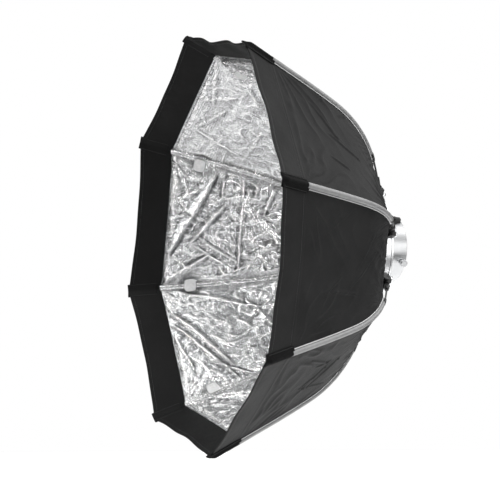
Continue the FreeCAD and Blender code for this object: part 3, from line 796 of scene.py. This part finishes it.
def add_lip_threads(k, material):
    """Stitches along the rim's hem and beside the seam."""
    rows = [(SEAM - 0.0085, 0.0007), (0.0085, 0.0009), (0.0085, -0.0021)]
    for name, rib, body, sign in halves(k):
        paths = []
        for s, lift in rows:
            half = float(half_width(s))
            for side in np.arange(0.003, half - 0.016, 0.0046):
                run = np.linspace(side, side + STITCH, 4) / half
                rise = lift + math.copysign(0.00025, lift) * np.sin(np.linspace(0, math.pi, 4))
                paths.append(lip_place(k, run * -sign, s, rise))
        obj = new_object(f"{name}_lip_thread", strips(f"{name}_lip_thread", paths, 0.00024),
                         material)
        bend_with(obj)


# -------------------- ribs

def rib_piece(k, mesh, slot, *materials):
    """An object that rides on rib k, with its mesh's name."""
    obj = new_object(mesh.name, mesh, *materials)
    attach(obj, f"rib_{k}")
    return obj


def sleeve_section(side):
    """The tape's height over the rib's line: down on the panels, and up over the rod."""
    bulge = np.sqrt(np.clip(1 - (side / ROD_CHANNEL) ** 2, 0, 1)) ** 0.8
    over_rod = 0.0008 + (ROD_LIFT + ROD_RADIUS + 0.0002) * bulge
    raised = np.where(np.abs(side) < ROD_CHANNEL, over_rod, -1.0)
    return np.maximum(raised, valley(side, 0.0012))


def add_sleeve(k, material):
    """The tape that holds the rod: a half-round channel with flat edges sewn to the cloth."""
    begin, end = POCKET_LENGTH - 0.006, SLEEVE_END
    s = np.linspace(begin, end, 170)
    turn = np.linspace(-math.pi / 2, math.pi / 2, 23)
    middle = ROD_CHANNEL * np.sin(turn)
    edge = SLEEVE_WIDTH / 2
    across = np.concatenate([[-edge, -0.0063], middle, [0.0063, edge]])
    top = sleeve_section(across)
    under = np.minimum(top - 0.0008, 0.0055)
    profile_side = np.concatenate([across, across[::-1]])
    profile_lift = np.concatenate([top, under[::-1]])
    grid_s, grid_side = np.meshgrid(s, profile_side, indexing="ij")
    lift = np.ones_like(grid_s) * profile_lift
    lift += 0.00025 * perlin(grid_s * 60, grid_side * 90, 60 + k)
    points = rib_place(k, grid_s, grid_side, lift)
    uv = np.stack([grid_side, grid_s], axis=-1)
    mesh = grid_mesh(f"rib_{k}_webbing", points, flip=True, uv=uv, closed=True)
    obj = rib_piece(k, mesh, "grey_webbing", material)
    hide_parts(f"rib_{k}_sleeve")


def add_piping(k, material):
    """A pale corded edge along each side of the sleeve."""
    paths = []
    for sign in (-1, 1):
        s = np.linspace(POCKET_LENGTH - 0.004, SLEEVE_END - 0.002, 120)
        side = sign * (SLEEVE_WIDTH / 2 + 0.0003)
        lift = float(valley(side, 0.0019))
        paths.append(rib_place(k, s, side, lift + 0.0001 * np.sin(s * 4000)))
    rib_piece(k, strips(f"rib_{k}_piping", paths, 0.00075, 8), "thread", material)


def add_sleeve_end(k, material):
    """The black binding that closes the sleeve at the hub end, round the rod."""
    turn = np.linspace(0, 2 * math.pi, 25)[:-1]
    s = np.array([-0.0145, -0.0140, -0.012, -0.006, -0.001, 0.003, 0.006, 0.0065]) + SLEEVE_END
    wide = np.array([0.0062, 0.0070, 0.0072, 0.0070, 0.0066, 0.0048, 0.0030, 0.0024])
    tall = np.array([0.0030, 0.0036, 0.0037, 0.0036, 0.0034, 0.0031, 0.0028, 0.0024])
    grid_s = s[:, None] * np.ones((1, len(turn)))
    side = wide[:, None] * np.sign(np.cos(turn)) * np.abs(np.cos(turn)) ** 0.8
    lift = ROD_LIFT + tall[:, None] * np.sin(turn)
    points = rib_place(k, grid_s, side, lift)
    mesh = grid_mesh(f"rib_{k}_binding", points, uv=np.stack([side, grid_s], axis=-1), closed=True)
    rib_piece(k, mesh, "black_fabric", material)


POCKET_OUTER_ROWS = 38
POCKET_TURN_ROWS = 9


def pocket_profile():
    """(s, lift, thickness) of the pocket's underside: outside, round the rim and back inside."""
    outer = [(s, 0.0006, 0.0010) for s in np.linspace(POCKET_LENGTH, 0.002, POCKET_OUTER_ROWS)]
    turn = [(0.0008 - 0.0012 * math.cos(a), -0.0006 + 0.0014 * math.sin(a), 0.0006)
            for a in np.linspace(math.pi / 2, -math.pi / 2, POCKET_TURN_ROWS)]
    inner = [(s, -0.0021, 0.0008) for s in np.linspace(0.003, POCKET_FLAP, 24)]
    return np.array(outer + turn + inner)


def pocket_surface(s, side, lift, outside):
    """The height of the pocket's underside, raised over the rod behind its tip."""
    rod = smooth_step(s / (ROD_TIP - 0.002)) * outside
    bulge = (ROD_LIFT + ROD_RADIUS - 0.0009) * np.exp(-np.abs(side / ROD_CHANNEL) ** 2.6) * rod
    fall = np.sqrt(side ** 2 + 0.003 ** 2) - 0.003
    return lift - fall * math.tan(HALF_STEP) * math.cos(FLARE) + bulge


def add_pocket(k, fuzz, cloth):
    """The hook-and-loop pocket over the rim, swollen where it holds the rod's tip."""
    line = pocket_profile()
    rows, columns = len(line), 29
    across = np.linspace(-1, 1, columns)
    s = line[:, :1] * np.ones((1, columns))
    outside = (np.arange(rows) < POCKET_OUTER_ROWS + POCKET_TURN_ROWS // 2)[:, None]
    ends = np.minimum(np.arange(rows), np.arange(rows)[::-1]) / 3.0
    narrow = 1 - 0.16 * np.clip(1 - ends, 0, 1) ** 2
    side = across[None, :] * POCKET_WIDTH / 2 * narrow[:, None]
    wobble = 0.0004 * perlin(side * 120, s * 70, 90 + k)
    height = pocket_surface(s, side, line[:, 1:2], outside) + wobble * outside
    points = rib_place(k, s, side, height)
    normals = grid_normals(points)
    thick = line[:, 2:3] * (1 - 0.45 * np.abs(across[None, :]) ** 6)
    top = points + normals * thick[..., None]
    count = rows * columns
    faces = grid_faces(rows, columns, flip=True)
    cover = grid_faces(rows, columns) + count
    loop = (list(range(columns)) + [i * columns + columns - 1 for i in range(1, rows)]
            + [(rows - 1) * columns + j for j in range(columns - 2, -1, -1)]
            + [i * columns for i in range(rows - 2, 0, -1)])
    rim = [[a, b, b + count, a + count] for a, b in zip(loop, loop[1:] + loop[:1])]
    vertices = np.concatenate([points.reshape(-1, 3), top.reshape(-1, 3)])
    mesh = bpy.data.meshes.new(f"rib_{k}_pocket")
    mesh.from_pydata(vertices.tolist(), [], faces.tolist() + cover.tolist() + rim)
    mesh.polygons.foreach_set("use_smooth", [True] * len(mesh.polygons))
    layer = mesh.uv_layers.new(name="UVMap")
    both = np.tile(np.stack([side, s], axis=-1).reshape(-1, 2), (2, 1))
    corner = [v for polygon in mesh.polygons for v in polygon.vertices]
    layer.data.foreach_set("uv", both[corner].astype(np.float32).ravel())
    first_inside = (POCKET_OUTER_ROWS + POCKET_TURN_ROWS - 2) * columns
    inside = [1 if min(v % count for v in polygon.vertices) >= first_inside else 0
              for polygon in mesh.polygons]
    mesh.polygons.foreach_set("material_index", inside)
    mesh.update()
    obj = rib_piece(k, mesh, "hook_tape_black", fuzz, cloth)
    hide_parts(f"rib_{k}_tip_pocket")


def add_pocket_threads(k, material):
    """Stitches down both sides of the pocket, outside and inside."""
    paths = []
    for sign in (-1, 1):
        side = sign * (POCKET_WIDTH / 2 - 0.0020)
        for begin, end, lift, out in ((0.006, POCKET_LENGTH - 0.006, 0.0021, 1.0),
                                      (0.004, POCKET_FLAP - 0.004, -0.0031, -1.0)):
            for s in np.arange(begin, end, 0.0044):
                run = np.linspace(s, s + STITCH, 3)
                height = pocket_surface(run, np.full(3, side), lift, out > 0)
                paths.append(rib_place(k, run, side, height + out * np.array([0, 0.0003, 0])))
    rib_piece(k, strips(f"rib_{k}_pocket_thread", paths, 0.00028), "thread", material)


def add_seam_tape(k, material):
    """The folded seam allowance inside the lining along a rib."""
    s = np.linspace(SEAM + 0.003, FABRIC_LENGTH - 0.004, 150)
    across = np.linspace(-1, 1, 13)
    grid_s, grid_u = np.meshgrid(s, across, indexing="ij")
    side = grid_u * SEAM_TAPE_WIDTH / 2
    lift = -0.0050 - np.abs(side) * 0.26 - 0.0040 * (1 - grid_u ** 4)
    lift += 0.0008 * perlin(grid_s * 90, side * 160, 130 + k)
    points = rib_place(k, grid_s, side, lift)
    uv = np.stack([side, grid_s], axis=-1)
    mesh = grid_mesh(f"rib_{k}_seam_tape", points, uv=uv)
    obj = rib_piece(k, mesh, "silver_lining", material)


def add_seam_threads(k, material):
    """Dark overlock stitches along both edges of the seam inside."""
    paths = []
    for sign in (-1, 1):
        for s in np.arange(SEAM + 0.006, FABRIC_LENGTH - 0.030, 0.0056):
            side = sign * np.array([0.0030, 0.0058, 0.0088])
            paths.append(rib_place(k, s + np.array([0, 0.0007, 0.0014]), side,
                                   np.array([-0.0100, -0.0098, -0.0088])))
    rib_piece(k, strips(f"rib_{k}_seam_thread", paths, 0.00080), "thread", material)


def add_tab(k, material):
    """The white hook-and-loop tab inside that holds an inner baffle."""
    across = np.linspace(-1, 1, 17)
    grid_a, grid_b = np.meshgrid(across, across, indexing="ij")
    pull = 1 - 0.13 * np.abs(grid_a * grid_b) ** 3
    s = TAB_PLACE + TAB_LENGTH / 2 * grid_a * pull
    side = TAB_SIDE.get(k, 0.0) + TAB_WIDTH / 2 * grid_b * pull
    wall = -0.0016 - np.abs(side) * math.tan(HALF_STEP) * 0.86
    lift = np.minimum(wall - 0.0060, -0.0130) - 0.0010 * (1 - grid_a ** 2)
    lift += 0.0008 * perlin(s * 60, side * 60, 170 + k)
    points = rib_place(k, s, side, lift)
    mesh = grid_mesh(f"rib_{k}_tab", points, uv=np.stack([side, s], axis=-1))
    obj = rib_piece(k, mesh, "hook_tape_white", material)
    solid = obj.modifiers.new("thickness", "SOLIDIFY")
    solid.thickness = 0.0014


# -------------------- hub

def add_collar(material):
    """The elastic band round the drum that the panels' hub ends gather on."""
    rows = [(0.3465, 0.1290), (0.3468, 0.1310), (0.3490, 0.1317), (0.3515, 0.1317),
            (0.3537, 0.1310), (0.3540, 0.1297)]
    azimuth = np.linspace(0, 2 * math.pi, 361)[:-1]
    points = []
    for depth, radius in rows:
        puff = 0.0004 * np.sin(azimuth * 90) * (radius > 0.13)
        ring = (radius + puff)[:, None] * np.stack(
            [np.cos(azimuth), 0 * azimuth, np.sin(azimuth)], axis=-1)
        points.append(ring + np.array([0, depth - DEPTH, 0]))
    points = np.array(points)
    uv = np.stack(np.broadcast_arrays(azimuth[None, :] * DRUM_RADIUS,
                                      np.array([r[0] for r in rows])[:, None]), axis=-1)
    mesh = grid_mesh("hub_collar", points, uv=uv, closed=True)
    obj = new_object("hub_collar", mesh, material)
    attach(obj, "hub")


# -------------------- CAD nodes

def paint_nodes(materials):
    """Gives each CAD node that stays its procedural material."""
    slots = {p["node"]: p["material_slot"] for p in frame["record"]["subparts"]}
    for node, obj in frame["nodes"].items():
        material = materials[slots[node]]
        obj.data.materials.clear()
        obj.data.materials.append(material)


# -------------------- studio

WALLS = 0.08                      # how bright the studio is at the horizon
CEILING = 0.55                    # and overhead


def add_floor():
    floor_z = cad_low.z - 0.40
    mesh = bpy.data.meshes.new("floor")
    size = 1.5
    mesh.from_pydata([(-size, -size, floor_z), (size, -size, floor_z), (size, size, floor_z),
                      (-size, size, floor_z)], [], [(0, 1, 2, 3)])
    n = Nodes("floor", Roughness=0.9, Specular_IOR_Level=0.1)
    tone = n.noise(n.coords(), 0.4, 2.0)
    n.link(n.ramp(tone, [(0.3, grey(0.955)), (0.7, grey(0.975))]), "Base Color")
    new_object("floor", mesh, n.material)


def add_world():
    """White behind the object, and a darker room with a bright ceiling round it."""
    world = bpy.data.worlds.new("studio")
    bpy.context.scene.world = world
    world.use_nodes = True
    n = Tree(world.node_tree)
    background = n.tree.nodes["Background"]
    background.inputs["Color"].default_value = (1, 1, 1, 1)
    toward = n.add("ShaderNodeTexCoord").outputs["Generated"]
    height = n.add("ShaderNodeSeparateXYZ", {0: toward}).outputs["Z"]
    room = n.rescale(height, (0.0, 0.75), (WALLS, CEILING))
    seen = n.add("ShaderNodeLightPath").outputs["Is Camera Ray"]
    strength = n.rescale(seen, after=(room, 1.0))
    n.tree.links.new(strength, background.inputs["Strength"])


def add_lights():
    sun = bpy.data.lights.new("overhead", "SUN")
    sun.energy = 2.7
    sun.angle = math.radians(40)
    obj = bpy.data.objects.new("overhead", sun)
    bpy.context.scene.collection.objects.link(obj)
    obj.rotation_euler = (math.radians(-2), math.radians(14), 0)

    centre = (0, -0.25, 0)
    add_light("front_left", (-1.6, -3.2, 1.3), centre, (0.8, 1.8), 40)
    add_light("right", (2.6, 1.2, 0.7), centre, (0.6, 1.7), 13)
    add_light("front_right_high", (3.6, -2.5, 1.05), centre, (1.3, 0.3), 40)
    add_light("behind", (-1.3, 3.6, 1.9), centre, (0.9, 0.9), 24)
    add_light("front_right_low", (3.3, -2.0, -0.5), centre, (0.5, 0.25), 3)


def add_light(name, place, target, size, power):
    """A soft rectangular light, aimed at target."""
    data = bpy.data.lights.new(name, "AREA")
    data.shape = "RECTANGLE"
    data.size, data.size_y = size
    data.energy = power
    obj = bpy.data.objects.new(name, data)
    bpy.context.scene.collection.objects.link(obj)
    obj.location = place
    aim = Vector(target) - Vector(place)
    obj.rotation_mode = "QUATERNION"
    obj.rotation_quaternion = aim.to_track_quat("-Z", "Y")


def add_camera():
    """A long lens at the front right, a little above, rolled so that the top leans right."""
    azimuth, elevation, roll = (math.radians(v) for v in (66.7, 6.24, 4.99))
    distance = 3.813
    centre = Vector((0, -DEPTH + 0.180, 0))
    target = Vector((0, -DEPTH + 0.1187, -0.0139))
    back = Vector((math.sin(azimuth) * math.cos(elevation),
                   -math.cos(azimuth) * math.cos(elevation), math.sin(elevation)))
    data = bpy.data.cameras.new("camera")
    data.lens = 130.5
    data.sensor_width = 36.0
    obj = bpy.data.objects.new("camera", data)
    bpy.context.scene.collection.objects.link(obj)
    obj.location = centre + back * distance
    aim = (target - obj.location).to_track_quat("-Z", "Y")
    obj.rotation_mode = "QUATERNION"
    obj.rotation_quaternion = aim @ Matrix.Rotation(roll, 4, "Z").to_quaternion()
    bpy.context.scene.camera = obj


def build():
    bpy.context.scene.view_settings.view_transform = "Standard"
    add_camera()
    add_floor()
    add_world()
    add_lights()
    m = make_materials()
    paint_nodes(m)
    for k in range(1, RIBS + 1):
        cloth = add_panel(k, "cloth", SEAM - 0.003, CLOTH_SPACING, cloth_wrinkles, 0.0, False,
                          m["black_fabric"])
        for obj, name in cloth:
            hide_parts(name)
        add_panel(k, "lining", SEAM, LINING_SPACING,
                  lambda k, side, s, u: -lining_wrinkles(k, side, s, u), LINING_LIFT, True,
                  m["silver_lining"])
        add_lip(k, m["black_fabric"], m["lip_inside"])
        add_lip_threads(k, m["lip_thread"])
        add_sleeve(k, m["grey_webbing"])
        add_piping(k, m["thread"])
        add_sleeve_end(k, m["black_webbing"])
        add_pocket(k, m["hook_tape_black"], m["lip_inside"])
        add_pocket_threads(k, m["lip_thread"])
        add_seam_tape(k, m["silver_lining"])
        add_seam_threads(k, m["dark_thread"])
        add_tab(k, m["hook_tape_white"])
    add_collar(m["black_webbing"])


build()
